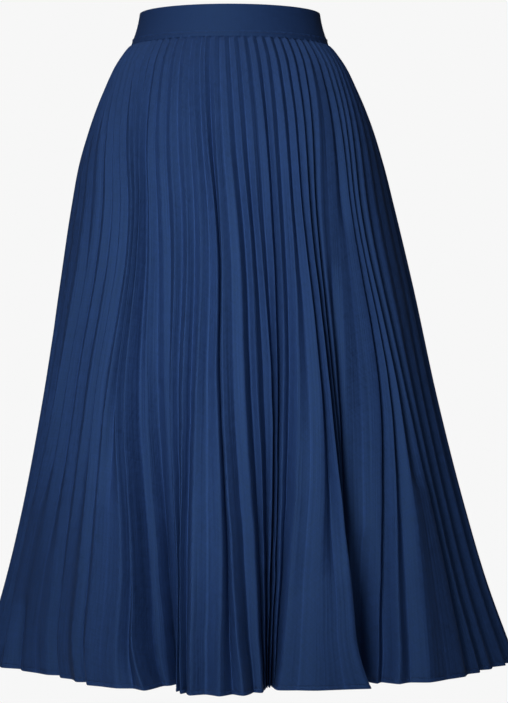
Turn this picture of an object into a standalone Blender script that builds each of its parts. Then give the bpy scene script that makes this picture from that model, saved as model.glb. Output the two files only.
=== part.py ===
"""Pleated midi skirt: a flat waistband over two sunray-pleated panels, front and back.

The skirt keeps the hollow form it has when it is worn.  The origin is the middle of the
waistband's loop, +Z is up and the front faces -Y.  Every length is in metres.

Each pleat is two flat faces of cloth that meet at a ridge.  A face widens evenly from the
waist seam to the hem, as sunray pleats do.  The ridges are placed round the body first, and
each valley then falls where two faces of the cloth's own width meet: ridges far apart give a
nearly flat panel, and ridges close together give a narrow, deep gap.
"""

import math
from collections import namedtuple

import bmesh
import bpy
import numpy as np

# ---- Driving dimensions ----------------------------------------------------------------
BAND_HEIGHT = 0.042
BAND_WALL = 0.0024
BAND_EDGE_ROUND = 0.0007
BAND_BELL = 0.6
BAND_SIDE_LEVELS = (-0.4, 0.2)
BAND_COLUMNS = 72

CLOTH_WALL = 0.0012
SEAM_GAP = 0.0003
SKIRT_DROP = 0.802
HEM_SIDE_RISE = 0.007

PANEL_PLEATS = 35
WAIST_TURN = -2.6
WAIST_FACE_WIDTH = 0.0070
HEM_FACE_WIDTH = 0.0216
FLATTEST_PLEAT = 0.0026

RINGS = 19
RING_CROWDING = 1.2
HIP_DROP = 0.20
KNEE_DROP = 0.46
CALF_DROP = 0.67
FLARE_DROP = 0.735
PROUD_GROWTH = 1.6

Section = namedtuple("Section", "drop half_width front back shift")
Fold = namedtuple("Fold", "ridge hip knee calf hem flare proud")

# The oval through the ridges at each drop below the waist seam.  `front` and `back` are its
# depths before and behind the middle, and `shift` is how far its middle lies towards +X.
WAIST_TOP = Section(-BAND_HEIGHT, 0.1160, 0.0920, 0.0950, 0.0)
WAIST_SEAM = Section(0.0, 0.1278, 0.1015, 0.1055, 0.0)
SECTIONS = (
    Section(0.000, 0.1295, 0.1030, 0.1075, 0.0000),
    Section(0.024, 0.1480, 0.1190, 0.1240, 0.0005),
    Section(0.060, 0.1655, 0.1350, 0.1410, 0.0010),
    Section(0.100, 0.1812, 0.1480, 0.1560, 0.0015),
    Section(0.150, 0.1965, 0.1600, 0.1700, 0.0020),
    Section(0.210, 0.2095, 0.1700, 0.1820, 0.0040),
    Section(0.310, 0.2287, 0.1830, 0.1980, 0.0085),
    Section(0.460, 0.2562, 0.2010, 0.2200, 0.0135),
    Section(0.600, 0.2872, 0.2180, 0.2450, 0.0178),
    Section(0.700, 0.3136, 0.2310, 0.2630, 0.0205),
    Section(0.802, 0.3460, 0.2450, 0.2850, 0.0250),
)

# Where ridges of each panel lie, numbered from the wearer's right to left on the front and
# on round the back.  Degrees are counted from the middle of the panel at hip, knee, calf and
# hem, `flare` is how far, in degrees, the very hem swings on from there, and `proud` is how
# far, in millimetres, it stands out at the hem.  Ridges between two rows are spread evenly.
FRONT_FOLDS = (
    Fold(1, -79.0, -86.0, -91.0, -89.0, 0.0, 0),
    Fold(3, -64.3, -71.4, -79.0, -72.0, 1.0, -14),
    Fold(4, -57.6, -66.2, -68.6, -66.0, 2.7, -28),
    Fold(5, -51.8, -59.0, -59.8, -56.0, 2.7, -34),
    Fold(6, -47.0, -51.8, -52.3, -49.9, 2.7, -28),
    Fold(7, -42.2, -46.5, -44.4, -42.0, 2.5, -13),
    Fold(8, -37.1, -40.4, -38.1, -36.0, 1.7, 2),
    Fold(9, -35.3, -36.0, -29.1, -28.2, 1.5, 7),
    Fold(10, -33.4, -33.1, -25.5, -23.2, 2.6, 13),
    Fold(11, -30.4, -28.5, -21.9, -17.8, 0.0, -40),
    Fold(12, -25.6, -22.9, -19.3, -16.2, 0.0, -50),
    Fold(13, -20.2, -18.9, -15.1, -14.1, 0.0, 10),
    Fold(14, -15.5, -14.9, -14.1, -12.6, 0.0, 26),
    Fold(15, -10.9, -11.3, -11.0, -10.5, 0.0, 36),
    Fold(16, -6.3, -5.7, -4.6, -4.9, 0.0, 38),
    Fold(17, -4.3, -4.2, -2.1, -1.2, 0.0, 32),
    Fold(18, 1.0, 2.0, 2.7, 2.6, 0.0, 8),
    Fold(19, 4.8, 5.4, 4.7, 3.4, 0.0, -12),
    Fold(20, 8.6, 9.6, 6.2, 4.2, 0.0, -30),
    Fold(21, 13.1, 10.9, 7.4, 4.8, 0.0, -32),
    Fold(22, 16.3, 12.6, 8.5, 5.4, 0.0, -32),
    Fold(23, 20.4, 16.7, 10.4, 6.0, -0.4, -12),
    Fold(24, 24.1, 23.0, 17.6, 14.3, 0.0, -1),
    Fold(25, 27.1, 26.0, 24.6, 22.8, 2.2, 6),
    Fold(26, 30.1, 28.6, 26.3, 24.5, 0.8, -24),
    Fold(27, 33.3, 31.3, 28.2, 25.9, 0.2, -50),
    Fold(28, 40.5, 34.2, 30.2, 27.4, 0.0, -62),
    Fold(29, 46.0, 46.0, 36.0, 29.7, 0.0, -30),
    Fold(30, 47.8, 48.7, 39.6, 33.6, 0.0, -12),
    Fold(31, 50.2, 51.5, 46.0, 39.9, 0.0, -2),
    Fold(32, 54.4, 56.7, 56.9, 53.3, -0.8, -8),
    Fold(33, 60.7, 61.8, 62.2, 60.8, 0.0, -14),
    Fold(34, 68.4, 69.0, 69.6, 67.6, 0.0, -16),
    Fold(35, 76.0, 76.5, 76.8, 76.0, 0.0, -8),
)
BACK_FOLDS = (
    Fold(1, -97.5, -97.0, -97.0, -97.0, 0.0, 0),
    Fold(4, -82.0, -84.0, -84.0, -84.0, 0.0, 3),
    Fold(6, -71.5, -76.0, -77.5, -78.5, -1.0, -18),
    Fold(10, -48.5, -50.0, -49.0, -48.5, 2.0, 22),
    Fold(13, -32.5, -37.0, -38.8, -39.5, 0.0, -22),
    Fold(16, -16.5, -19.0, -18.8, -18.5, 0.0, 26),
    Fold(17, -11.5, -15.0, -15.0, -15.0, 0.5, 5),
    Fold(20, 4.5, 1.0, -0.6, -1.5, 0.0, -18),
    Fold(23, 21.5, 20.0, 20.0, 20.0, 2.0, 24),
    Fold(26, 38.0, 33.0, 30.8, 29.5, 0.0, -20),
    Fold(30, 62.5, 58.0, 56.0, 56.0, -2.0, 22),
    Fold(32, 75.0, 66.5, 62.0, 61.5, 0.0, -16),
    Fold(35, 94.0, 85.5, 80.5, 83.0, 0.0, 2),
)

CLOTH_COLOUR = (0.0242, 0.0578, 0.1559, 1.0)
BAND_COLOUR = (0.0110, 0.0242, 0.0762, 1.0)


# ---- Curves ----------------------------------------------------------------------------
def smooth(x, xs, ys):
    """Value at x of a smooth curve through the points xs, ys; ys may have a row for each x."""
    xs, ys = np.asarray(xs, float), np.asarray(ys, float)
    slopes = np.gradient(ys, xs, axis=0)
    k = int(np.clip(np.searchsorted(xs, x) - 1, 0, len(xs) - 2))
    step = xs[k + 1] - xs[k]
    u = (x - xs[k]) / step
    return (
        (1 + 2 * u) * (1 - u) ** 2 * ys[k]
        + u * (1 - u) ** 2 * step * slopes[k]
        + u * u * (3 - 2 * u) * ys[k + 1]
        + u * u * (u - 1) * step * slopes[k + 1]
    )


def section_at(drop):
    """The oval at this drop below the waist seam."""
    return Section(*smooth(drop, [s.drop for s in SECTIONS], SECTIONS))


def outwards(degrees):
    """Plan direction out of the skirt at an angle; 0 degrees is the front."""
    angle = np.radians(degrees)
    return np.stack([np.sin(angle), -np.cos(angle)], axis=-1)


def on_oval(section, degrees, out=0.0):
    """Plan points on a section's oval, moved out by `out`."""
    direction = outwards(degrees)
    depth = np.where(direction[..., 1] < 0, section.front, section.back)
    reach = np.stack([section.half_width + 0 * depth, depth], axis=-1)
    return (reach + out) * direction + (section.shift, 0.0)


# ---- Pleats ----------------------------------------------------------------------------
def panel_ridges(folds, drop):
    """(angles from the panel's middle, distances proud) of a panel's ridges at this drop."""
    number = np.arange(1, PANEL_PLEATS + 1)
    rows = [fold.ridge for fold in folds]
    waist = -90 + 180 * (number - 0.5) / PANEL_PLEATS + WAIST_TURN
    hip, knee, calf, hem, flare, proud = (
        np.interp(number, rows, [getattr(fold, name) for fold in folds])
        for name in ("hip", "knee", "calf", "hem", "flare", "proud")
    )
    drops = (0.0, HIP_DROP, KNEE_DROP, CALF_DROP, SKIRT_DROP)
    angles = smooth(drop, drops, (waist, hip, knee, calf, hem))
    flared = max(drop - FLARE_DROP, 0.0) / (SKIRT_DROP - FLARE_DROP)
    return angles + flare * flared**2, proud / 1000 * (drop / SKIRT_DROP) ** PROUD_GROWTH


def pleat_ring(drop):
    """Plan points of the whole pleated ring: ridge, valley, ridge, valley, ..."""
    front, front_proud = panel_ridges(FRONT_FOLDS, drop)
    back, back_proud = panel_ridges(BACK_FOLDS, drop)
    angles = np.concatenate([front, back + 180])
    proud = np.concatenate([front_proud, back_proud])
    ridges = on_oval(section_at(drop), angles)
    chord = np.roll(ridges, -1, axis=0) - ridges
    length = np.linalg.norm(chord, axis=1, keepdims=True)
    inward = np.stack([-chord[:, 1], chord[:, 0]], axis=1) / length
    face = WAIST_FACE_WIDTH + (HEM_FACE_WIDTH - WAIST_FACE_WIDTH) * drop / SKIRT_DROP
    depth = np.sqrt(np.maximum(face**2 - (length / 2) ** 2, FLATTEST_PLEAT**2))
    valleys = ridges + chord / 2 + inward * depth
    middles = (angles + np.append(angles[1:], angles[0] + 360)) / 2
    middle_proud = (proud + np.roll(proud, -1)) / 2
    ridges = ridges + outwards(angles) * proud[:, None]
    valleys = valleys + outwards(middles) * middle_proud[:, None]
    return np.stack([ridges, valleys], axis=1).reshape(-1, 2)


def heights(points, drop):
    """Height of each plan point: the hem rises a little towards the sides."""
    section = section_at(drop)
    across = (points[:, 0] - section.shift) / section.half_width
    rise = HEM_SIDE_RISE * (drop / SKIRT_DROP) * np.clip(across, -1, 1) ** 2
    return -BAND_HEIGHT / 2 - SEAM_GAP - drop + rise


def wall_loop(points, thickness):
    """A closed loop round an open line of plan points, with an even wall of this thickness."""
    run = np.diff(points, axis=0)
    normal = np.stack([run[:, 1], -run[:, 0]], axis=1)
    normal /= np.linalg.norm(normal, axis=1, keepdims=True)
    before = np.concatenate([normal[:1], normal])
    after = np.concatenate([normal, normal[-1:]])
    mitre = (before + after) / (1 + (before * after).sum(axis=1, keepdims=True))
    outer = points + mitre * thickness / 2
    inner = points - mitre * thickness / 2
    return np.concatenate([outer, inner[::-1]])


def panel_loops(first, last):
    """Horizontal loops of the panel that holds ring points `first` to `last`, seam to hem.

    Its side seams lie halfway along the faces just before and just after those points.
    """
    loops = []
    for step in range(RINGS + 1):
        drop = SKIRT_DROP * (step / RINGS) ** RING_CROWDING
        ring = pleat_ring(drop)
        ends = []
        for k, towards in ((first, -1), (last, 1)):
            face = ring[(k + towards) % len(ring)] - ring[k]
            share = 0.5 - SEAM_GAP / 2 / np.linalg.norm(face)
            ends.append(ring[k] + share * face)
        points = np.array([ends[0], *ring[first : last + 1], ends[1]])
        loop = wall_loop(points, CLOTH_WALL)
        level = heights(points, drop)
        loops.append(np.column_stack([loop, np.concatenate([level, level[::-1]])]))
    return loops


# ---- Solids ----------------------------------------------------------------------------
def cloth_material(name, colour, roughness):
    material = bpy.data.materials.new(name)
    material.use_nodes = True
    shader = material.node_tree.nodes["Principled BSDF"]
    shader.inputs["Base Color"].default_value = colour
    shader.inputs["Roughness"].default_value = roughness
    shader.inputs["Metallic"].default_value = 0.0
    material.diffuse_color = colour
    return material


def loft(name, loops, joined, material):
    """A solid through loops with equal numbers of points.

    The last loop joins the first where `joined` is set.  Otherwise the two end loops are
    closed by a strip of faces from each point to the one opposite it in the loop.
    """
    mesh = bpy.data.meshes.new(name)
    build = bmesh.new()
    rows = [[build.verts.new(point) for point in loop] for loop in loops]
    count = len(rows[0])
    pairs = list(zip(rows, rows[1:] + rows[:1] if joined else rows[1:]))
    for upper, lower in pairs:
        for k in range(count):
            n = (k + 1) % count
            corners = [upper[k], upper[n], lower[n], lower[k]]
            if k >= count // 2:
                corners = corners[1:] + corners[:1]
            build.faces.new([corners[0], corners[1], corners[2]])
            build.faces.new([corners[0], corners[2], corners[3]])
    if not joined:
        for row in (rows[0], rows[-1]):
            for k in range(count // 2 - 1):
                build.faces.new([row[k], row[k + 1], row[-k - 2], row[-k - 1]])
    bmesh.ops.recalc_face_normals(build, faces=build.faces)
    build.to_mesh(mesh)
    build.free()
    mesh.shade_smooth()
    mesh.set_sharp_from_angle(angle=math.radians(30))
    mesh.materials.append(material)
    solid = bpy.data.objects.new(name, mesh)
    bpy.context.scene.collection.objects.link(solid)
    return solid


def waistband():
    """The folded band: one loop with rounded top and bottom edges."""
    half, wall, edge = BAND_HEIGHT / 2, BAND_WALL / 2, BAND_EDGE_ROUND
    side = [(wall, level * half) for level in BAND_SIDE_LEVELS]
    outside = [(wall - edge, -half), (wall, -half + edge), *side, (wall, half - edge)]
    profile = outside + [(-out, z) for out, z in reversed(outside)]
    profile.insert(len(outside), (wall - edge, half))
    profile.insert(len(outside) + 1, (edge - wall, half))
    loops = []
    for column in range(BAND_COLUMNS):
        degrees = 360 * column / BAND_COLUMNS
        loop = []
        for out, z in profile:
            share = (half - z) / BAND_HEIGHT
            flare = (1 - BAND_BELL) * share + BAND_BELL * share**2
            section = Section(*(
                top + (seam - top) * flare for top, seam in zip(WAIST_TOP, WAIST_SEAM)
            ))
            loop.append((*on_oval(section, degrees, out), z))
        loops.append(loop)
    material = cloth_material("band_satin", BAND_COLOUR, 0.55)
    return loft("waistband", loops, True, material)


def main():
    for old in list(bpy.data.objects):
        bpy.data.objects.remove(old, do_unlink=True)
    cloth = cloth_material("pleated_chiffon", CLOTH_COLOUR, 0.62)
    waistband()
    last_front = 2 * PANEL_PLEATS - 2
    last_back = 4 * PANEL_PLEATS - 1
    loft("skirt_front", panel_loops(0, last_front), False, cloth)
    loft("skirt_back", panel_loops(last_front + 1, last_back), False, cloth)


main()
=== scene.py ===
"""Pleated midi skirt: cloth, stitching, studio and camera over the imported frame.

Two sunray-pleated panels hang from a folded waistband.  The fold tables say where the ridges
of each panel lie; every pleat is worked out from them as two faces of cloth of even width,
softened at the creases, billowed between them and rolled over at the hem.
Every length is in metres, +Z is up and the front faces -Y.
"""

import math
from collections import namedtuple

import bpy
import numpy as np
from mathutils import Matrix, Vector


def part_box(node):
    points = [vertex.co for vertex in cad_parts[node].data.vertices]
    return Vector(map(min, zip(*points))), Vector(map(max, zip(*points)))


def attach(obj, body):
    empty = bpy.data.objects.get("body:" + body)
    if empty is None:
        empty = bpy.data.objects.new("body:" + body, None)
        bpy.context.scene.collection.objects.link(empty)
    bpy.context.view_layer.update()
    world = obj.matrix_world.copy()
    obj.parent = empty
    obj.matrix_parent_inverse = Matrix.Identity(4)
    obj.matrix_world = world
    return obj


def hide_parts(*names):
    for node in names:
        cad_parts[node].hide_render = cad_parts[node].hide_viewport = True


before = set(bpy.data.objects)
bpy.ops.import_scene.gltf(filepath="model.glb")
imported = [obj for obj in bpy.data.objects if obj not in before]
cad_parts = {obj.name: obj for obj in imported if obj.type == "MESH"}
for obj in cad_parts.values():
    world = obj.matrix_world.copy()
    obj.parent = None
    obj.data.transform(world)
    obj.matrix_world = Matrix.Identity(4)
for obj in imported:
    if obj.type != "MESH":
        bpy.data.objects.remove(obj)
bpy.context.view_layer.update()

bl_info = {
    "name": "Pleated Midi Skirt",
    "version": (1, 0, 0),
    "blender": (4, 5, 0),
    "location": "View3D > Sidebar > Skirt",
    "description": "Builds a sunray-pleated midi skirt with a folded waistband",
    "category": "Add Mesh",
}

# ---- Cut and fall of the cloth -----------------------------------------------------------
# Pleats in a panel, the turn of the waist's pleats from an even spread, in degrees, the least
# depth of a pleat, how much higher the hem is at the sides, the gap between band and cloth, the
# drops that the folds are given for, and how late the ridges come to stand proud.
PANEL_PLEATS = 35
WAIST_TURN = -2.6
FLATTEST_PLEAT = 0.0020
HEM_SIDE_RISE = 0.007
SEAM_GAP = 0.0003
HIP_DROP, KNEE_DROP, CALF_DROP, FLARE_DROP = 0.20, 0.46, 0.67, 0.735
PROUD_GROWTH = 1.6

# The waist seam: the drops between which the pleats come free of the band, the share of their
# depth that they keep in it, how far they lie inside it, and the soft puff just below it.
PINCH_START, PINCH_END = -0.004, 0.002
PINCHED_SHARE = 0.10
SEAM_INSET = 0.0004
SEAM_PUFF, SEAM_PUFF_DROP = 0.0014, 0.006

# The band: the length of its strip, the share of its flare that is even, how far it tucks in at
# the seam, its puckers there, and its stitched groove.
BAND_STRIP = 0.72
EVEN_FLARE = 0.4
SEAM_TUCK, SEAM_TUCK_HEIGHT = 0.0009, 0.0035
PUCKER, PUCKER_HEIGHT = 0.00025, 0.005
STITCH_RISE = 0.005
STITCH_GROOVE, STITCH_GROOVE_WIDTH = 0.00012, 0.0008

# The rolled hem is thinned, down to CREASE_HEM_SHARE, at the creases and where the pleats are
# closer together than FREE_HEM_SPAN.  Its pale line lies PALE_EDGE_RISE above the edge.
FREE_HEM_SPAN, CREASE_HEM_SHARE = 0.016, 0.25
PALE_EDGE_RISE, PALE_EDGE_WIDTH = 0.0008, 0.003

# How far creases stray from their places, in degrees, in long sways and short ripples, and
# how unevenly the faces billow.  Sways are in full one part in SWAY_ONSET of the way down.
SWAY, SWAY_KNOTS, SWAY_ONSET = 0.16, 7, 6
RIPPLE, RIPPLE_KNOTS = 0.09, 26
LEAST_BILLOW, BILLOW_SPREAD, BILLOW_KNOTS = 0.5, 0.8, 5
CLOTH_SEED, BAND_SEED = 11, 5

Section = namedtuple("Section", "drop half_width front back shift")
Fold = namedtuple("Fold", "ridge hip knee calf hem flare proud")

# The oval through the ridges at each drop below the waist seam.  `front` and `back` are its
# depths before and behind the middle, and `shift` is how far its middle lies towards +X.
BAND_TOP = Section(0.0, 0.1160, 0.0920, 0.0950, 0.0)
BAND_SEAM = Section(0.0, 0.1278, 0.1015, 0.1055, 0.0)
SECTIONS = (
    Section(0.000, 0.1295, 0.1030, 0.1075, 0.0000),
    Section(0.024, 0.1480, 0.1190, 0.1240, 0.0005),
    Section(0.060, 0.1655, 0.1350, 0.1410, 0.0010),
    Section(0.100, 0.1812, 0.1480, 0.1560, 0.0015),
    Section(0.150, 0.1965, 0.1600, 0.1700, 0.0020),
    Section(0.210, 0.2095, 0.1700, 0.1820, 0.0040),
    Section(0.310, 0.2287, 0.1830, 0.1980, 0.0085),
    Section(0.460, 0.2562, 0.2010, 0.2200, 0.0135),
    Section(0.600, 0.2872, 0.2180, 0.2450, 0.0178),
    Section(0.700, 0.3136, 0.2310, 0.2630, 0.0205),
    Section(0.802, 0.3460, 0.2450, 0.2850, 0.0250),
)

# Where ridges of each panel lie, numbered from the wearer's right to left on the front and
# on round the back.  Degrees are counted from the middle of the panel at hip, knee, calf and
# hem, `flare` is how far, in degrees, the very hem swings on from there, and `proud` is how
# far, in millimetres, it stands out.  Ridges between two rows are spread evenly.
FRONT_FOLDS = (
    Fold(1, -79.0, -86.0, -91.0, -89.0, 0.0, 0),
    Fold(3, -64.3, -71.4, -79.0, -72.0, 1.0, -14),
    Fold(4, -57.6, -66.2, -68.6, -66.0, 2.7, -28),
    Fold(5, -51.8, -59.0, -59.8, -56.0, 2.7, -34),
    Fold(6, -47.0, -51.8, -52.3, -49.9, 2.7, -28),
    Fold(7, -42.2, -46.5, -44.4, -42.0, 2.5, -13),
    Fold(8, -37.1, -40.4, -38.1, -36.0, 1.7, 2),
    Fold(9, -35.3, -36.0, -29.1, -28.2, 1.5, 7),
    Fold(10, -33.4, -33.1, -25.5, -23.2, 2.6, 13),
    Fold(11, -30.4, -28.5, -21.9, -17.8, 0.0, -40),
    Fold(12, -25.6, -22.9, -19.3, -16.2, 0.0, -50),
    Fold(13, -20.2, -18.9, -15.1, -14.1, 0.0, 10),
    Fold(14, -15.5, -14.9, -14.1, -12.6, 0.0, 26),
    Fold(15, -10.9, -11.3, -11.0, -10.5, 0.0, 36),
    Fold(16, -6.3, -5.7, -4.6, -4.9, 0.0, 38),
    Fold(17, -4.3, -4.2, -2.1, -1.2, 0.0, 32),
    Fold(18, 1.0, 2.0, 2.7, 2.6, 0.0, 8),
    Fold(19, 4.8, 5.4, 4.7, 3.4, 0.0, -12),
    Fold(20, 8.6, 9.6, 6.2, 4.2, 0.0, -30),
    Fold(21, 13.1, 10.9, 7.4, 4.8, 0.0, -32),
    Fold(22, 16.3, 12.6, 8.5, 5.4, 0.0, -32),
    Fold(23, 20.4, 16.7, 10.4, 6.0, -0.4, -12),
    Fold(24, 24.1, 23.0, 17.6, 14.3, 0.0, -1),
    Fold(25, 27.1, 26.0, 24.6, 22.8, 2.2, 6),
    Fold(26, 30.1, 28.6, 26.3, 24.5, 0.8, -24),
    Fold(27, 33.3, 31.3, 28.2, 25.9, 0.2, -50),
    Fold(28, 40.5, 34.2, 30.2, 27.4, 0.0, -62),
    Fold(29, 46.0, 46.0, 36.0, 29.7, 0.0, -30),
    Fold(30, 47.8, 48.7, 39.6, 33.6, 0.0, -12),
    Fold(31, 50.2, 51.5, 46.0, 39.9, 0.0, -2),
    Fold(32, 54.4, 56.7, 56.9, 53.3, -0.8, -8),
    Fold(33, 60.7, 61.8, 62.2, 60.8, 0.0, -14),
    Fold(34, 68.4, 69.0, 69.6, 67.6, 0.0, -16),
    Fold(35, 76.0, 76.5, 76.8, 76.0, 0.0, -8),
)
BACK_FOLDS = (
    Fold(1, -97.5, -97.0, -97.0, -97.0, 0.0, 0),
    Fold(4, -82.0, -84.0, -84.0, -84.0, 0.0, 3),
    Fold(6, -71.5, -76.0, -77.5, -78.5, -1.0, -18),
    Fold(10, -48.5, -50.0, -49.0, -48.5, 2.0, 22),
    Fold(13, -32.5, -37.0, -38.8, -39.5, 0.0, -22),
    Fold(16, -16.5, -19.0, -18.8, -18.5, 0.0, 26),
    Fold(17, -11.5, -15.0, -15.0, -15.0, 0.5, 5),
    Fold(20, 4.5, 1.0, -0.6, -1.5, 0.0, -18),
    Fold(23, 21.5, 20.0, 20.0, 20.0, 2.0, 24),
    Fold(26, 38.0, 33.0, 30.8, 29.5, 0.0, -20),
    Fold(30, 62.5, 58.0, 56.0, 56.0, -2.0, 22),
    Fold(32, 75.0, 66.5, 62.0, 61.5, 0.0, -16),
    Fold(35, 94.0, 85.5, 80.5, 83.0, 0.0, 2),
)

# How finely the cloth is divided: stops across each face of a pleat, crowded at the creases,
# samples across a face while the creases are softened, and rows down the cloth.
FACE_STOPS = (0.0, 0.05, 0.14, 0.3, 0.5, 0.7, 0.86, 0.95)
FACE_SAMPLES = 48
SEAM_ROWS = (-0.008, -0.004, 0.0, 0.0015, 0.003, 0.005, 0.0075, 0.0105, 0.014, 0.018)
BODY_START, BODY_ROWS = 0.0225, 128
BAND_COLUMNS = 560
BAND_STITCH_POINTS = 721
OUTSIDE_ROWS, FOLD_ROWS, INSIDE_ROWS = 26, 9, 20

# A stitch from end to end: distance from its middle as a share of its length, and distance out
# of the cloth and thickness as shares of the thread's radius.
StitchStop = namedtuple("StitchStop", "along out thick")
STITCH_STOPS = (
    StitchStop(-0.42, -1.6, 0.5),
    StitchStop(-0.30, 0.1, 1.0),
    StitchStop(0.00, 0.5, 1.0),
    StitchStop(0.30, 0.1, 1.0),
    StitchStop(0.42, -1.6, 0.5),
)
THREAD_SIDES = 6
THREAD_LOOK_AHEAD = 0.0004

# ---- Cloths and studio -------------------------------------------------------------------
# `threads` is a number per metre; the others say how strongly thick threads, soft blotches and
# fine lengthwise crinkles show.  WEAVE_INPUTS are the shader's inputs in the same order.
Weave = namedtuple("Weave", "threads slub blotch crinkle")
WEAVE_INPUTS = ("Threads per metre", "Slub", "Blotch", "Crinkle")
PLEATED_WEAVE = Weave(3200.0, 0.75, 0.16, 42.0)
BAND_WEAVE = Weave(4200.0, 0.40, 0.08, 0.0)

# How often each changes over the flat cut, for each metre; crinkles across, for each radian.
SLUBS_ACROSS, SLUBS_ALONG, BLOTCHES = 520.0, 60.0, 14.0
CRINKLES_ACROSS, CRINKLES_ALONG = 240.0, 4.0

# How much of each goes into the cloth's colour, height and roughness.  The crinkles' share of the
# colour is painted light and shade: lighter on their tops and darker in their hollows.
WEAVE_SHADE, CRINKLE_PAINTED_SHADE = 0.04, 0.018
WEAVE_HEIGHT, SLUB_HEIGHT = 0.5, 4.0
CLOTH_ROUGHNESS, SLUB_ROUGHNESS = 0.66, 0.8
GLOSS = 0.45
GLOSS_TINT = (0.25, 0.55, 1.0, 1.0)
# How much paler a painted highlight along the valleys, and a pale line along the hem's edge, make
# the cloth, and how tightly both keep to those lines.
CREASE_HIGHLIGHT_AND_HEM_LINE, CREASE_SHARPNESS = 0.38, 22.0
THREAD_TWIST, THREAD_DARKEST, THREAD_RANGE = 2500.0, 0.75, 0.5
WEAVE_DEPTH, TWIST_DEPTH = 0.00006, 0.00005

# Camera, lamps and floor.  `power` names the lamp's setting in the sidebar, a lamp with no
# height is round, and spread is in degrees.
CAMERA_SIDE, CAMERA_HEIGHT = 0.0312, -0.417
SKIRT_MIDDLE = (0.0, 0.0, -0.42)
FLOOR_RADIUS, FLOOR_SIDES = 1.7, 96
FLOOR_WHITE = (0.86, 0.86, 0.86, 1.0)
WHITE = (1.0, 1.0, 1.0, 1.0)
Lamp = namedtuple("Lamp", "name power place aim width height spread")
LAMPS = (
    Lamp("key_lamp", "key_power", (-0.28, -1.25, -0.16), (0.02, 0.0, -0.30), 0.40, 0.90, 80),
    Lamp("fill_lamp", "fill_power", (0.3, -3.2, 0.1), SKIRT_MIDDLE, 1.6, None, 180),
    Lamp("top_lamp", "top_power", (-0.9, -0.8, 3.2), SKIRT_MIDDLE, 2.0, None, 180),
    Lamp("back_lamp", "back_power", (0.0, 2.6, 0.7), SKIRT_MIDDLE, 1.4, None, 180),
)


# ---- Sizes and colours -------------------------------------------------------------------
class SkirtSizes(bpy.types.PropertyGroup):
    """Sizes of the cloth, its creases and its sewing."""

    band_height: bpy.props.FloatProperty(
        name="Band height",
        description="Height of the finished waistband",
        default=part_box("waistband")[1][2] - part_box("waistband")[0][2],
        unit="LENGTH",
    )
    band_thickness: bpy.props.FloatProperty(
        name="Band thickness",
        description="Thickness of the folded and stiffened waistband",
        default=0.0022,
        unit="LENGTH",
    )
    skirt_drop: bpy.props.FloatProperty(
        name="Skirt drop",
        description="Drop of the pleated cloth from the waist seam to the hem",
        default=0.802,
        unit="LENGTH",
    )
    waist_face: bpy.props.FloatProperty(
        name="Face width at the waist",
        description="Width of each face of a pleat at the waist seam",
        default=0.0070,
        unit="LENGTH",
    )
    hem_face: bpy.props.FloatProperty(
        name="Face width at the hem",
        description="Width of each face of a pleat at the hem",
        default=0.0216,
        unit="LENGTH",
    )
    waist_crease: bpy.props.FloatProperty(
        name="Crease radius at the waist",
        description="How softly the creases turn at the waist seam",
        default=0.0005,
        unit="LENGTH",
    )
    hem_crease: bpy.props.FloatProperty(
        name="Crease radius at the hem",
        description="How softly the creases turn at the hem",
        default=0.0026,
        unit="LENGTH",
    )
    billow: bpy.props.FloatProperty(
        name="Billow",
        description="How far a face of a pleat curves between its creases at the hem",
        default=0.0011,
        unit="LENGTH",
    )
    hem_depth: bpy.props.FloatProperty(
        name="Hem depth",
        description="Depth of the narrow rolled hem",
        default=0.0050,
        unit="LENGTH",
    )
    stitch_length: bpy.props.FloatProperty(
        name="Stitch length",
        description="Length from one stitch to the next",
        default=0.0028,
        unit="LENGTH",
    )
    thread_width: bpy.props.FloatProperty(
        name="Thread width",
        description="Thickness of the sewing thread",
        default=0.00032,
        unit="LENGTH",
    )


class SkirtColours(bpy.types.PropertyGroup):
    """Colours of the cloth, the band and the thread."""

    cloth: bpy.props.FloatVectorProperty(
        name="Pleated cloth",
        description="Colour of the pleated cloth",
        default=(0.0175, 0.0430, 0.1400),
        subtype="COLOR",
        min=0.0,
        max=1.0,
    )
    band: bpy.props.FloatVectorProperty(
        name="Waistband",
        description="Colour of the waistband",
        default=(0.0140, 0.0350, 0.1150),
        subtype="COLOR",
        min=0.0,
        max=1.0,
    )
    thread: bpy.props.FloatVectorProperty(
        name="Thread",
        description="Colour of the sewing thread",
        default=(0.0120, 0.0300, 0.0980),
        subtype="COLOR",
        min=0.0,
        max=1.0,
    )


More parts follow.
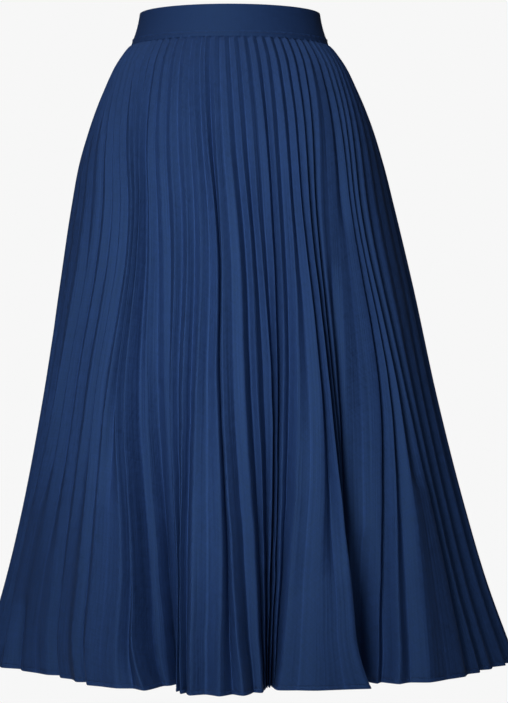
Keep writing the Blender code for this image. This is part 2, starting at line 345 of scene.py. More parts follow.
class StudioSettings(bpy.types.PropertyGroup):
    """Camera, lamps and floor."""

    camera_distance: bpy.props.FloatProperty(
        name="Camera distance",
        description="Distance from the camera to the middle of the waistband",
        default=3.0,
        unit="LENGTH",
    )
    camera_lens: bpy.props.FloatProperty(
        name="Lens",
        description="Focal length of the camera on a picture 36 mm high",
        default=118.3,
        subtype="DISTANCE_CAMERA",
    )
    key_power: bpy.props.FloatProperty(
        name="Key lamp",
        description="Power of the tall soft lamp with a grid, in front and to the left",
        default=2.6,
        unit="POWER",
    )
    fill_power: bpy.props.FloatProperty(
        name="Fill lamp",
        description="Power of the soft lamp beside the camera",
        default=3.0,
        unit="POWER",
    )
    top_power: bpy.props.FloatProperty(
        name="Top lamp",
        description="Power of the large soft lamp high above, in front and to the left",
        default=33.0,
        unit="POWER",
    )
    back_power: bpy.props.FloatProperty(
        name="Back lamp",
        description="Power of the soft lamp behind the skirt",
        default=50.0,
        unit="POWER",
    )
    room_light: bpy.props.FloatProperty(
        name="Room light",
        description="Strength of the light that comes evenly from the white room",
        default=0.045,
        min=0.0,
    )
    backdrop: bpy.props.FloatProperty(
        name="Backdrop",
        description="Brightness of the white room behind the skirt",
        default=0.93,
        min=0.0,
    )
    floor_below: bpy.props.FloatProperty(
        name="Floor",
        description="Height of the waist above the floor",
        default=1.15,
        unit="LENGTH",
    )
    floor_lift: bpy.props.FloatProperty(
        name="Floor lift",
        description="How much paler the floor looks than the lamps light it",
        default=0.30,
        min=0.0,
    )


def sizes():
    return bpy.context.scene.skirt_sizes


def colours():
    return bpy.context.scene.skirt_colours


def studio():
    return bpy.context.scene.skirt_studio


# ---- Curves ------------------------------------------------------------------------------
def smooth(x, xs, ys):
    """Value at x of a smooth curve through the points xs, ys; ys may have a row for each x."""
    xs, ys = np.asarray(xs, float), np.asarray(ys, float)
    slopes = np.gradient(ys, xs, axis=0)
    k = int(np.clip(np.searchsorted(xs, x) - 1, 0, len(xs) - 2))
    step = xs[k + 1] - xs[k]
    u = (x - xs[k]) / step
    return (
        (1 + 2 * u) * (1 - u) ** 2 * ys[k]
        + u * (1 - u) ** 2 * step * slopes[k]
        + u * u * (3 - 2 * u) * ys[k + 1]
        + u * u * (u - 1) * step * slopes[k + 1]
    )


def ease(x):
    """0 below 0, 1 above 1, and a soft step between."""
    x = np.clip(x, 0.0, 1.0)
    return x * x * (3 - 2 * x)


def section_at(drop):
    """The oval at this drop below the waist seam."""
    return Section(*smooth(max(drop, 0.0), [s.drop for s in SECTIONS], SECTIONS))


def band_section(share):
    """The waistband's oval, from its top edge, share 0, to its seam, share 1."""
    flare = EVEN_FLARE * share + (1 - EVEN_FLARE) * share * share
    return Section(*(top + (seam - top) * flare for top, seam in zip(BAND_TOP, BAND_SEAM)))


def outwards(degrees):
    """Plan direction out of the skirt at an angle; 0 degrees is the front."""
    angle = np.radians(degrees)
    return np.stack([np.sin(angle), -np.cos(angle)], axis=-1)


def on_oval(section, degrees, out=0.0):
    """Plan points on a section's oval, moved out by `out`."""
    direction = outwards(degrees)
    depth = np.where(direction[..., 1] < 0, section.front, section.back)
    reach = np.stack([section.half_width + 0 * depth, depth], axis=-1)
    return (reach + out) * direction + (section.shift, 0.0)


def plan_normals(points):
    """Outward plan normals of a closed ring of plan points."""
    run = np.roll(points, -1, axis=0) - np.roll(points, 1, axis=0)
    normal = np.stack([run[:, 1], -run[:, 0]], axis=1)
    return normal / np.linalg.norm(normal, axis=1, keepdims=True)


# ---- Pleats ------------------------------------------------------------------------------
def panel_ridges(folds, drop):
    """(angles from the panel's middle, distances proud) of a panel's ridges at this drop."""
    number = np.arange(1, PANEL_PLEATS + 1)
    rows = [fold.ridge for fold in folds]
    waist = -90 + 180 * (number - 0.5) / PANEL_PLEATS + WAIST_TURN
    hip, knee, calf, hem, flare, proud = (
        np.interp(number, rows, [getattr(fold, name) for fold in folds])
        for name in ("hip", "knee", "calf", "hem", "flare", "proud")
    )
    full = sizes().skirt_drop
    drops = (0.0, HIP_DROP, KNEE_DROP, CALF_DROP, full)
    angles = smooth(drop, drops, (waist, hip, knee, calf, hem))
    flared = max(drop - FLARE_DROP, 0.0) / (full - FLARE_DROP)
    return angles + flare * flared**2, proud / 1000 * (drop / full) ** PROUD_GROWTH


def pleat_ring(drop, sway):
    """(plan points, angles) of the pleated ring: ridge, valley, ridge, valley, ...

    `sway` shifts each ridge a little, in degrees.
    """
    front, front_proud = panel_ridges(FRONT_FOLDS, max(drop, 0.0))
    back, back_proud = panel_ridges(BACK_FOLDS, max(drop, 0.0))
    angles = np.concatenate([front, back + 180]) + sway
    proud = np.concatenate([front_proud, back_proud])
    ridges = on_oval(section_at(drop), angles)
    chord = np.roll(ridges, -1, axis=0) - ridges
    length = np.linalg.norm(chord, axis=1, keepdims=True)
    inward = np.stack([-chord[:, 1], chord[:, 0]], axis=1) / length
    face = face_width(drop)
    depth = np.sqrt(np.maximum(face**2 - (length / 2) ** 2, FLATTEST_PLEAT**2))
    valleys = ridges + chord / 2 + inward * depth
    middles = (angles + np.append(angles[1:], angles[0] + 360)) / 2
    middle_proud = (proud + np.roll(proud, -1)) / 2
    ridges = ridges + outwards(angles) * proud[:, None]
    valleys = valleys + outwards(middles) * middle_proud[:, None]
    points = np.stack([ridges, valleys], axis=1).reshape(-1, 2)
    return points, np.stack([angles, middles], axis=1).reshape(-1)


def face_width(drop):
    """Width of a face of a pleat at this drop below the waist seam."""
    share = max(drop, 0.0) / sizes().skirt_drop
    return sizes().waist_face + (sizes().hem_face - sizes().waist_face) * share


def wander(random, count, reach, knots):
    """`count` smooth random curves, as a function of the share of the way down the skirt."""
    places = np.linspace(0, 1, knots)
    offsets = random.normal(0, reach, (knots, count))

    def at(share):
        return smooth(np.clip(share, 0, 1), places, offsets)

    return at


def soft_ring(drop, sway, billow):
    """Dense closed ring of plan points at this drop, with soft creases, and its normals.

    It starts at the first front ridge and holds FACE_SAMPLES points for each face.
    """
    points, angles = pleat_ring(drop, sway)
    share = max(drop, 0.0) / sizes().skirt_drop
    following = np.roll(points, -1, axis=0)
    along = following - points
    normal = np.stack([along[:, 1], -along[:, 0]], axis=1)
    normal /= np.linalg.norm(normal, axis=1, keepdims=True)
    u = np.arange(FACE_SAMPLES)[None, :, None] / FACE_SAMPLES
    bulge = sizes().billow * billow[:, None, None] * share * np.sin(np.pi * u)
    ring = points[:, None] + along[:, None] * u + normal[:, None] * bulge
    turn = np.append(angles[1:], angles[0] + 360)
    degrees = angles[:, None] + (turn - angles)[:, None] * u[:, :, 0]
    ring, degrees = ring.reshape(-1, 2), degrees.reshape(-1)

    crease = sizes().waist_crease + (sizes().hem_crease - sizes().waist_crease) * share
    spread = crease / (face_width(drop) / FACE_SAMPLES)
    waves = np.fft.rfftfreq(len(ring))[:, None]
    ring = np.fft.irfft(
        np.fft.rfft(ring, axis=0) * np.exp(-2 * (math.pi * spread * waves) ** 2),
        len(ring),
        axis=0,
    )
    held = on_oval(band_section(1.0), degrees, -SEAM_INSET - SEAM_TUCK)
    freed = ease((drop - PINCH_START) / (PINCH_END - PINCH_START))
    free = PINCHED_SHARE + (1 - PINCHED_SHARE) * freed
    below = max(drop, 0.0) / SEAM_PUFF_DROP
    puff = SEAM_PUFF * below * math.exp(1 - below)
    ring = held + (ring - held) * free + outwards(degrees) * puff
    return ring, plan_normals(ring)


def heights(points, drop):
    """Height of each plan point: the hem rises a little towards the sides."""
    section = section_at(drop)
    across = (points[:, 0] - section.shift) / section.half_width
    fall = max(drop, 0.0) / sizes().skirt_drop
    rise = HEM_SIDE_RISE * fall * np.clip(across, -1, 1) ** 2
    return -sizes().band_height / 2 - SEAM_GAP - drop + rise


Row = namedtuple("Row", "drop out")


def cloth_rows():
    """Rows of the cloth from inside the band, down to the hem and up behind it.

    `out` moves a row out of the cloth's middle surface.
    """
    full, hem = sizes().skirt_drop, sizes().hem_depth
    body = np.linspace(BODY_START, full - hem - 0.002, BODY_ROWS)
    rows = [Row(drop, 0.0) for drop in (*SEAM_ROWS, *body)]
    # The rolled hem: a stitched groove, the rounded edge and the layer behind.
    rows += [
        Row(full - hem - 0.0008, -0.0001),
        Row(full - hem, -0.0004),
        Row(full - hem + 0.0007, 0.0001),
        Row(full - hem + 0.0018, 0.0006),
        Row(full - hem / 2 + 0.0006, 0.0009),
        Row(full - 0.0010, 0.0007),
        Row(full - 0.0003, 0.0003),
        Row(full, -0.0003),
        Row(full - 0.0003, -0.0009),
        Row(full - hem / 2, -0.0012),
        Row(full - hem, -0.0012),
    ]
    return rows


def flat_sector():
    """(inner radius, turn for each face in radians) of the flat cut of the pleated cloth."""
    ray = sizes().waist_face * sizes().skirt_drop / (sizes().hem_face - sizes().waist_face)
    return ray, sizes().waist_face / ray


def hem_room():
    """Share of the rolled hem's thickness that fits at each sample round the hem.

    The roll is pressed thin at the creases and where pleats crowd together.
    """
    points, _ = pleat_ring(sizes().skirt_drop, 0.0)
    spans = np.linalg.norm(np.roll(points, -2, axis=0) - points, axis=1)
    # A face shares one crease with the face before it and the other with the face after it.
    tightest = np.minimum(spans, np.roll(spans, 1))
    crowded = np.repeat(np.clip(tightest / FREE_HEM_SPAN, CREASE_HEM_SHARE, 1.0), FACE_SAMPLES)
    across = np.arange(len(crowded)) / FACE_SAMPLES % 1.0
    pressed = CREASE_HEM_SHARE + (1 - CREASE_HEM_SHARE) * np.sin(np.pi * across)
    return crowded * pressed


def cloth_surface():
    """(points, cut, creases) of the whole ring of cloth, one row at a time.

    `points` are in space, `cut` is each point's place on the flat pleated sector, and
    `creases` is 1 along the valleys and the hem's edge and falls to 0 on the ridges.  From it the
    shader paints a highlight along the valleys and a pale line along the hem's edge.
    """
    random = np.random.default_rng(CLOTH_SEED)
    sway_at = wander(random, 2 * PANEL_PLEATS, SWAY, SWAY_KNOTS)
    billow_at = wander(random, 4 * PANEL_PLEATS, BILLOW_SPREAD, BILLOW_KNOTS)
    ripple_at = wander(random, 2 * PANEL_PLEATS, RIPPLE, RIPPLE_KNOTS)
    full = sizes().skirt_drop
    ray, face_turn = flat_sector()
    u = np.arange(4 * PANEL_PLEATS * FACE_SAMPLES) / FACE_SAMPLES
    valley = np.abs((u + 1) % 2.0 - 1)
    room = hem_room()
    points, cut, creases = [], [], []
    for row in cloth_rows():
        share = np.clip(row.drop / full, 0, 1)
        above_edge = full - PALE_EDGE_RISE - row.drop
        creases.append(np.maximum(valley, math.exp(-((above_edge / PALE_EDGE_WIDTH) ** 2))))
        sway = sway_at(share) * ease(share * SWAY_ONSET) + ripple_at(share) * share
        ring, normal = soft_ring(row.drop, sway, LEAST_BILLOW + billow_at(share))
        ring = ring + normal * room[:, None] * row.out
        points.append(np.column_stack([ring, heights(ring, row.drop)]))
        reach = ray + row.drop
        cut.append(np.column_stack([reach * np.sin(face_turn * u), reach * np.cos(face_turn * u)]))
    return np.array(points), np.array(cut), np.array(creases)


def panel_columns(first, last):
    """Sample numbers across the panel that holds ring points `first` to `last`.

    It starts and ends halfway along the faces just before and just after those points.
    """
    half = FACE_STOPS.index(0.5)
    stops = [(first - 1, stop) for stop in FACE_STOPS[half:]]
    stops += [(face, stop) for face in range(first, last) for stop in FACE_STOPS]
    stops += [(last, stop) for stop in FACE_STOPS[: half + 1]]
    count = 4 * PANEL_PLEATS * FACE_SAMPLES
    return [int(round((face + stop) * FACE_SAMPLES)) % count for face, stop in stops]


# ---- Meshes ------------------------------------------------------------------------------
def smooth_object(name, mesh, material):
    """A smooth object of this mesh and material, placed in the scene."""
    mesh.shade_smooth()
    mesh.materials.append(material)
    piece = bpy.data.objects.new(name, mesh)
    bpy.context.scene.collection.objects.link(piece)
    return piece


def sheet_object(name, points, cut, closed, material, creases=None):
    """A sheet of cloth through rows of points, with its place on the flat cut as its UV map."""
    rows, columns = points.shape[:2]
    index = np.arange(rows * columns).reshape(rows, columns)
    if closed:
        index = np.concatenate([index, index[:, :1]], axis=1)
    quads = np.stack(
        [index[:-1, :-1], index[1:, :-1], index[1:, 1:], index[:-1, 1:]], axis=-1
    ).reshape(-1, 4)
    mesh = bpy.data.meshes.new(name)
    mesh.from_pydata(points.reshape(-1, 3).tolist(), [], quads.tolist())
    uv = mesh.uv_layers.new(name="flat_cut")
    corners = np.empty(len(mesh.loops), int)
    mesh.loops.foreach_get("vertex_index", corners)
    uv.data.foreach_set("uv", cut.reshape(-1, 2)[corners].reshape(-1).astype(np.float32))
    if creases is not None:
        crease = mesh.attributes.new("crease", "FLOAT", "POINT")
        crease.data.foreach_set("value", creases.reshape(-1).astype(np.float32))
    return smooth_object(name, mesh, material)


def thread_object(name, path, normals, material):
    """A row of stitches that lie along a line of points, each dipping into the cloth."""
    pitch, radius = sizes().stitch_length, sizes().thread_width / 2
    steps = np.linalg.norm(np.diff(path, axis=0), axis=1)
    length = np.concatenate([[0.0], np.cumsum(steps)])
    count = int(length[-1] / pitch)
    turns = np.linspace(0, 2 * math.pi, THREAD_SIDES, endpoint=False)
    ring = [(math.cos(turn), math.sin(turn)) for turn in turns]

    def on(line, at):
        return Vector([float(np.interp(at, length, line[:, k])) for k in range(3)])

    vertices, faces = [], []
    for stitch in range(count):
        start = len(vertices)
        for stop in STITCH_STOPS:
            at = (stitch + 0.5 + stop.along) * pitch
            centre, up = on(path, at), on(normals, at)
            forward = (on(path, at + THREAD_LOOK_AHEAD) - centre).normalized()
            side = forward.cross(up).normalized()
            centre += up * radius * stop.out
            for c, s in ring:
                vertices.append(centre + (side * c + up * s) * radius * stop.thick)
        last = start + THREAD_SIDES * (len(STITCH_STOPS) - 1)
        for a in range(start, last, THREAD_SIDES):
            b = a + THREAD_SIDES
            for j in range(THREAD_SIDES):
                n = (j + 1) % THREAD_SIDES
                faces.append((a + j, a + n, b + n, b + j))
        faces.append(tuple(start + j for j in reversed(range(THREAD_SIDES))))
        faces.append(tuple(last + j for j in range(THREAD_SIDES)))
    mesh = bpy.data.meshes.new(name)
    mesh.from_pydata(vertices, [], faces)
    piece = smooth_object(name, mesh, material)
    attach(piece, "root")
    return piece


# ---- Shaders -----------------------------------------------------------------------------
class Nodes:
    """Adds nodes to a tree and links them, given values or other nodes' outputs."""

    def __init__(self, tree):
        self.tree = tree

    def put(self, socket, value):
        """Link an output to a socket, or put a plain value in it."""
        if isinstance(value, bpy.types.NodeSocket):
            self.tree.links.new(value, socket)
        else:
            socket.default_value = value

    def add(self, kind, settings=None, **inputs):
        node = self.tree.nodes.new(kind)
        for name, value in (settings or {}).items():
            setattr(node, name, value)
        for name, value in inputs.items():
            self.put(node.inputs[name.replace("_", " ")], value)
        return node

    def maths(self, operation, first, second=0.0):
        node = self.add("ShaderNodeMath", {"operation": operation})
        self.put(node.inputs[0], first)
        self.put(node.inputs[1], second)
        return node.outputs[0]

    def total(self, *values):
        """The sum of two or more values."""
        result = values[0]
        for value in values[1:]:
            result = self.maths("ADD", result, value)
        return result

    def shade(self, colour, factor):
        """The colour made lighter or darker by a factor that changes over the surface."""
        node = self.add("ShaderNodeVectorMath", {"operation": "SCALE"}, Scale=factor)
        self.put(node.inputs[0], colour)
        return node.outputs[0]

    def seen_or_lit(self, seen, lit):
        """A shader that the camera sees as `seen` and that lights the scene as `lit`."""
        ray = self.add("ShaderNodeLightPath").outputs["Is Camera Ray"]
        mix = self.add("ShaderNodeMixShader")
        for socket, value in zip(mix.inputs, (ray, lit, seen)):
            self.put(socket, value)
        return mix.outputs[0]


def new_material(name):
    """(material, its Nodes, its shader) of a new material."""
    material = bpy.data.materials.new(name)
    material.use_nodes = True
    return material, Nodes(material.node_tree), material.node_tree.nodes["Principled BSDF"]


def group_input(group, name, kind, default):
    socket = group.interface.new_socket(name=name, in_out="INPUT", socket_type=kind)
    socket.default_value = default


def weave_group():
    """Woven cloth: threads both ways, slubs, blotches and crinkles.

    It gives colour, roughness and height.  The crinkles also paint light on their tops and shade
    in their hollows into the colour.
    """
    group = bpy.data.node_groups.get("woven_cloth")
    if group:
        return group
    group = bpy.data.node_groups.new("woven_cloth", "ShaderNodeTree")
    group_input(group, "Colour", "NodeSocketColor", (0.02, 0.05, 0.16, 1.0))
    for field, value in zip(WEAVE_INPUTS, PLEATED_WEAVE):
        group_input(group, field, "NodeSocketFloat", value)
    for name, kind in (("Colour", "Color"), ("Roughness", "Float"), ("Height", "Float")):
        group.interface.new_socket(name=name, in_out="OUTPUT", socket_type="NodeSocket" + kind)
    nodes = Nodes(group)
    given = nodes.add("NodeGroupInput").outputs
    place = nodes.add("ShaderNodeUVMap", {"uv_map": "flat_cut"}).outputs["UV"]
    split = nodes.add("ShaderNodeSeparateXYZ", Vector=place).outputs
    x, y = split["X"], split["Y"]
    rate = nodes.maths("MULTIPLY", given["Threads per metre"], 2 * math.pi)
    warp = nodes.maths("SINE", nodes.maths("MULTIPLY", x, rate))
    weft = nodes.maths("SINE", nodes.maths("MULTIPLY", y, rate))
    over = nodes.maths("MULTIPLY", warp, weft)

    def streaks(side, length, across, along, detail=3.0, roughness=0.6):
        """Noise about 0, stretched along the cloth or across it."""
        stretch = nodes.add(
            "ShaderNodeCombineXYZ",
            X=nodes.maths("MULTIPLY", side, across),
            Y=nodes.maths("MULTIPLY", length, along),
        )
        noise = nodes.add(
            "ShaderNodeTexNoise",
            Vector=stretch.outputs[0],
            Scale=1.0,
            Detail=detail,
            Roughness=roughness,
        )
        return nodes.maths("SUBTRACT", noise.outputs["Fac"], 0.5)

    slub_warp = streaks(x, y, SLUBS_ACROSS, SLUBS_ALONG)
    slub_weft = streaks(x, y, SLUBS_ALONG, SLUBS_ACROSS)
    slub = nodes.maths("MULTIPLY", nodes.maths("ADD", slub_warp, slub_weft), given["Slub"])
    blotch = nodes.maths("MULTIPLY", streaks(x, y, BLOTCHES, BLOTCHES), given["Blotch"])
    # Crinkles run with the pleats, which spread like rays over the flat cut.
    turn = nodes.maths("ARCTAN2", x, y)
    drawn = streaks(turn, y, CRINKLES_ACROSS, CRINKLES_ALONG, detail=4.0, roughness=0.65)
    crinkle = nodes.maths("MULTIPLY", drawn, given["Crinkle"])
    # Painted light and shade: the colour is lighter where the crinkles rise and darker in their
    # hollows.
    factor = nodes.total(
        nodes.maths("MULTIPLY", over, WEAVE_SHADE),
        nodes.maths("ADD", slub, blotch),
        nodes.maths("MULTIPLY", crinkle, CRINKLE_PAINTED_SHADE),
        1.0,
    )
    height = nodes.total(
        nodes.maths("MULTIPLY", over, WEAVE_HEIGHT),
        nodes.maths("MULTIPLY", slub, SLUB_HEIGHT),
        crinkle,
    )
    rough = nodes.maths("ADD", nodes.maths("MULTIPLY", slub, SLUB_ROUGHNESS), CLOTH_ROUGHNESS)
    colour = nodes.shade(given["Colour"], factor)
    nodes.add("NodeGroupOutput", Colour=colour, Roughness=rough, Height=height)
    return group


def cloth_material(name, colour, weave, creased):
    """Woven cloth with a bluish gloss; `creased` paints a highlight along its valleys and a pale
    line along its hem's edge.
    """
    material = bpy.data.materials.get(name)
    if material:
        return material
    material, nodes, shader = new_material(name)
    material.diffuse_color = (*colour, 1.0)
    woven = nodes.add("ShaderNodeGroup", {"node_tree": weave_group()}, Colour=(*colour, 1.0))
    for field, value in zip(WEAVE_INPUTS, weave):
        woven.inputs[field].default_value = value
    tint = woven.outputs["Colour"]
    if creased:
        # Painted highlight: the colour is made paler along the valleys, and a pale line is laid
        # along the hem's edge.
        crease = nodes.add("ShaderNodeAttribute", {"attribute_name": "crease"}).outputs["Fac"]
        highlight_and_hem_line = nodes.maths("POWER", crease, CREASE_SHARPNESS)
        paler = nodes.maths("ADD", nodes.maths("MULTIPLY", highlight_and_hem_line, CREASE_HIGHLIGHT_AND_HEM_LINE), 1.0)
        tint = nodes.shade(tint, paler)
    bump = nodes.add(
        "ShaderNodeBump", Strength=0.5, Distance=WEAVE_DEPTH, Height=woven.outputs["Height"]
    )
    nodes.put(shader.inputs["Base Color"], tint)
    nodes.put(shader.inputs["Roughness"], woven.outputs["Roughness"])
    nodes.put(shader.inputs["Normal"], bump.outputs["Normal"])
    nodes.put(shader.inputs["Specular IOR Level"], GLOSS)
    nodes.put(shader.inputs["Specular Tint"], GLOSS_TINT)
    return material


def thread_material():
    """Twisted sewing thread."""
    material = bpy.data.materials.get("sewing_thread")
    if material:
        return material
    material, nodes, shader = new_material("sewing_thread")
    material.diffuse_color = (*colours().thread, 1.0)
    place = nodes.add("ShaderNodeTexCoord").outputs["Object"]
    noise = nodes.add("ShaderNodeTexNoise", Vector=place, Scale=THREAD_TWIST, Detail=2.0)
    twist = noise.outputs["Fac"]
    factor = nodes.maths("ADD", nodes.maths("MULTIPLY", twist, THREAD_RANGE), THREAD_DARKEST)
    bump = nodes.add("ShaderNodeBump", Strength=0.5, Distance=TWIST_DEPTH, Height=twist)
    nodes.put(shader.inputs["Base Color"], nodes.shade(tuple(colours().thread), factor))
    nodes.put(shader.inputs["Normal"], bump.outputs["Normal"])
    nodes.put(shader.inputs["Roughness"], 0.5)
    return material


def pleated_cloth_material():
    return cloth_material("sunray_cloth", tuple(colours().cloth), PLEATED_WEAVE, creased=True)


def band_material():
    return cloth_material("smooth_band_cloth", tuple(colours().band), BAND_WEAVE, creased=False)


# ---- Operators ---------------------------------------------------------------------------
class SKIRT_OT_panels(bpy.types.Operator):
    """Make the front and back pleated panels with their rolled hems"""

    bl_idname = "skirt.panels"
    bl_label = "Pleated panels"

    def execute(self, context):
        points, cut, creases = cloth_surface()
        last_front = 2 * PANEL_PLEATS - 2
        panels = (
            ("cloth_front", "skirt_front", 0, last_front),
            ("cloth_back", "skirt_back", last_front + 1, 4 * PANEL_PLEATS - 1),
        )
        for name, node, first, last in panels:
            columns = panel_columns(first, last)
            piece = sheet_object(
                name,
                points[:, columns],
                cut[:, columns],
                False,
                pleated_cloth_material(),
                creases[:, columns],
            )
            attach(piece, "root")
            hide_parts(node)
        return {"FINISHED"}


class SKIRT_OT_band(bpy.types.Operator):
    """Make the waistband: one strip folded double, with a pressed top edge"""

    bl_idname = "skirt.band"
    bl_label = "Waistband"

    def execute(self, context):
        half, wall = sizes().band_height / 2, sizes().band_thickness / 2
        # Heights and distances out, from the seam up the outside, over the fold and down.
        outside = [(z, wall) for z in np.linspace(-half, half - wall, OUTSIDE_ROWS)]
        fold = [
            (half - wall + wall * math.sin(a), wall * math.cos(a))
            for a in np.linspace(0, math.pi, FOLD_ROWS)[1:-1]
        ]
        inside = [(z, -wall) for z in np.linspace(half - wall, -half, INSIDE_ROWS)]
        profile = outside + fold + inside
        degrees = np.arange(BAND_COLUMNS) * 360 / BAND_COLUMNS
        around = np.arange(BAND_COLUMNS) / BAND_COLUMNS * BAND_STRIP
        random = np.random.default_rng(BAND_SEED)
        pucker = random.normal(0, 1, BAND_COLUMNS)
        pucker = (pucker + np.roll(pucker, 1) + np.roll(pucker, -1)) / 3
        points, cut = [], []
        travelled = 0.0
        for k, (z, out) in enumerate(profile):
            share = (half - z) / (2 * half)
            above_seam = z + half
            above_stitches = (above_seam - STITCH_RISE) / STITCH_GROOVE_WIDTH
            groove = STITCH_GROOVE * math.exp(-(above_stitches**2))
            ripple = pucker * PUCKER * math.exp(-((above_seam / PUCKER_HEIGHT) ** 2))
            tuck = SEAM_TUCK * math.exp(-((above_seam / SEAM_TUCK_HEIGHT) ** 2))
            side = 1.0 if out > 0 else -1.0
            reach = out + side * (ripple - groove) - tuck
            ring = on_oval(band_section(share), degrees, reach[:, None])
            points.append(np.column_stack([ring, np.full(BAND_COLUMNS, z)]))
            if k:
                travelled += math.dist(profile[k - 1], (z, out))
            cut.append(np.column_stack([around, np.full(BAND_COLUMNS, travelled)]))
        points, cut = np.array(points)[::-1], np.array(cut)[::-1]
        piece = sheet_object("band_cloth", points, cut, True, band_material())
        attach(piece, "root")
        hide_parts("waistband")
        return {"FINISHED"}


class SKIRT_OT_stitching(bpy.types.Operator):
    """Sew the line of stitches above the waist seam and those along both hems"""

    bl_idname = "skirt.stitching"
    bl_label = "Stitching"

    def execute(self, context):
        half, wall = sizes().band_height / 2, sizes().band_thickness / 2
        z = -half + STITCH_RISE
        share = (half - z) / (2 * half)
        degrees = np.linspace(0, 360, BAND_STITCH_POINTS)
        ring = on_oval(band_section(share), degrees, wall - STITCH_GROOVE)
        path = np.column_stack([ring, np.full(len(ring), z)])
        level = np.column_stack([outwards(degrees), np.zeros(len(ring))])
        piece = thread_object("band_stitches", path, level, thread_material())
        for name in ("cloth_front", "cloth_back"):
            cloth = bpy.data.objects.get(name)
            if cloth is None:
                raise RuntimeError("make the pleated panels before their stitching")
            rows = cloth_rows()
            groove = next(k for k, row in enumerate(rows) if row.out < 0)
            columns = len(cloth.data.vertices) // len(rows)
            coordinates = np.empty(len(cloth.data.vertices) * 3)
            cloth.data.vertices.foreach_get("co", coordinates)
            line = coordinates.reshape(len(rows), columns, 3)[groove]
            run = np.gradient(line[:, :2], axis=0)
            out = np.stack([run[:, 1], -run[:, 0]], axis=1)
            out /= np.linalg.norm(out, axis=1, keepdims=True)
            level = np.column_stack([out, np.zeros(len(line))])
            stitches = name.replace("cloth", "hem_stitches")
            hem = thread_object(stitches, line, level, thread_material())
        return {"FINISHED"}


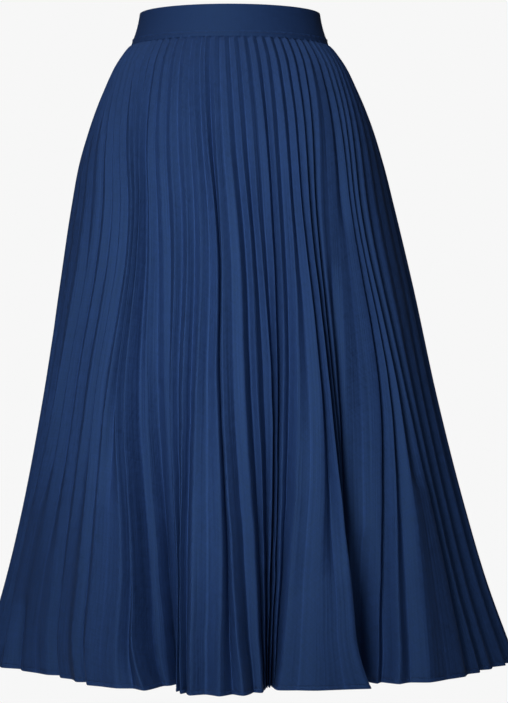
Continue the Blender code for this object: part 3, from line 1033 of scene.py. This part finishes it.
class SKIRT_OT_stage(bpy.types.Operator):
    """Set the camera, the soft studio lamps and the pale floor"""

    bl_idname = "skirt.stage"
    bl_label = "Studio"

    def execute(self, context):
        self.camera(context)
        for lamp in LAMPS:
            self.lamp(context, lamp)
        self.room(context)
        self.floor(context)
        return {"FINISHED"}

    def camera(self, context):
        camera = bpy.data.objects.new("camera", bpy.data.cameras.new("camera"))
        camera.data.lens = studio().camera_lens
        camera.data.sensor_fit = "VERTICAL"
        camera.data.sensor_height = 36.0
        camera.data.clip_end = 100.0
        camera.location = (CAMERA_SIDE, -studio().camera_distance, CAMERA_HEIGHT)
        camera.rotation_euler = (math.radians(90), 0.0, 0.0)
        context.scene.collection.objects.link(camera)
        context.scene.camera = camera

    def lamp(self, context, setting):
        data = bpy.data.lights.new(setting.name, "AREA")
        data.shape = "DISK"
        data.size = setting.width
        if setting.height:
            data.shape = "RECTANGLE"
            data.size_y = setting.height
        data.spread = math.radians(setting.spread)
        data.energy = getattr(studio(), setting.power)
        lamp = bpy.data.objects.new(setting.name, data)
        lamp.location = setting.place
        look = Vector(setting.aim) - Vector(setting.place)
        lamp.rotation_euler = look.to_track_quat("-Z", "Y").to_euler()
        lamp.visible_camera = False
        context.scene.collection.objects.link(lamp)

    def room(self, context):
        world = bpy.data.worlds.new("white_room")
        world.use_nodes = True
        context.scene.world = world
        world.node_tree.nodes.clear()
        nodes = Nodes(world.node_tree)
        seen = nodes.add("ShaderNodeBackground", Color=WHITE, Strength=studio().backdrop)
        lit = nodes.add("ShaderNodeBackground", Color=WHITE, Strength=studio().room_light)
        both = nodes.seen_or_lit(seen.outputs[0], lit.outputs[0])
        nodes.add("ShaderNodeOutputWorld", Surface=both)
        context.scene.view_settings.view_transform = "Standard"
        context.scene.view_settings.look = "None"

    def floor(self, context):
        mesh = bpy.data.meshes.new("floor")
        rim = [
            (FLOOR_RADIUS * math.cos(a), FLOOR_RADIUS * math.sin(a), -studio().floor_below)
            for a in np.linspace(0, 2 * math.pi, FLOOR_SIDES, endpoint=False)
        ]
        mesh.from_pydata(rim, [], [tuple(range(FLOOR_SIDES))])
        floor = bpy.data.objects.new("floor", mesh)
        context.scene.collection.objects.link(floor)
        material, nodes, shader = new_material("floor_white")
        nodes.put(shader.inputs["Base Color"], FLOOR_WHITE)
        nodes.put(shader.inputs["Roughness"], 0.9)
        # The camera sees the floor paler than it is lit, so it throws no more light on the cloth.
        lift = nodes.add("ShaderNodeEmission", Color=WHITE, Strength=studio().floor_lift)
        paler = nodes.add("ShaderNodeAddShader")
        nodes.put(paler.inputs[0], shader.outputs[0])
        nodes.put(paler.inputs[1], lift.outputs[0])
        both = nodes.seen_or_lit(paler.outputs[0], shader.outputs[0])
        nodes.put(material.node_tree.nodes["Material Output"].inputs["Surface"], both)
        mesh.materials.append(material)


class SKIRT_PT_sidebar(bpy.types.Panel):
    """Buttons and sizes of the skirt"""

    bl_idname = "SKIRT_PT_sidebar"
    bl_label = "Pleated skirt"
    bl_space_type = "VIEW_3D"
    bl_region_type = "UI"
    bl_category = "Skirt"

    def draw(self, context):
        for operator in STEPS:
            self.layout.operator(operator.bl_idname)
        for settings in (sizes(), colours(), studio()):
            box = self.layout.box()
            for name in settings.__annotations__:
                box.prop(settings, name)


STEPS = (SKIRT_OT_stage, SKIRT_OT_panels, SKIRT_OT_band, SKIRT_OT_stitching)
CLASSES = (SkirtSizes, SkirtColours, StudioSettings, *STEPS, SKIRT_PT_sidebar)


def register():
    for kind in CLASSES:
        bpy.utils.register_class(kind)
    bpy.types.Scene.skirt_sizes = bpy.props.PointerProperty(type=SkirtSizes)
    bpy.types.Scene.skirt_colours = bpy.props.PointerProperty(type=SkirtColours)
    bpy.types.Scene.skirt_studio = bpy.props.PointerProperty(type=StudioSettings)


def unregister():
    del bpy.types.Scene.skirt_studio
    del bpy.types.Scene.skirt_colours
    del bpy.types.Scene.skirt_sizes
    for kind in reversed(CLASSES):
        bpy.utils.unregister_class(kind)


def main():
    register()
    bpy.ops.skirt.stage()
    bpy.ops.skirt.panels()
    bpy.ops.skirt.band()
    bpy.ops.skirt.stitching()


if __name__ == "__main__":
    main()
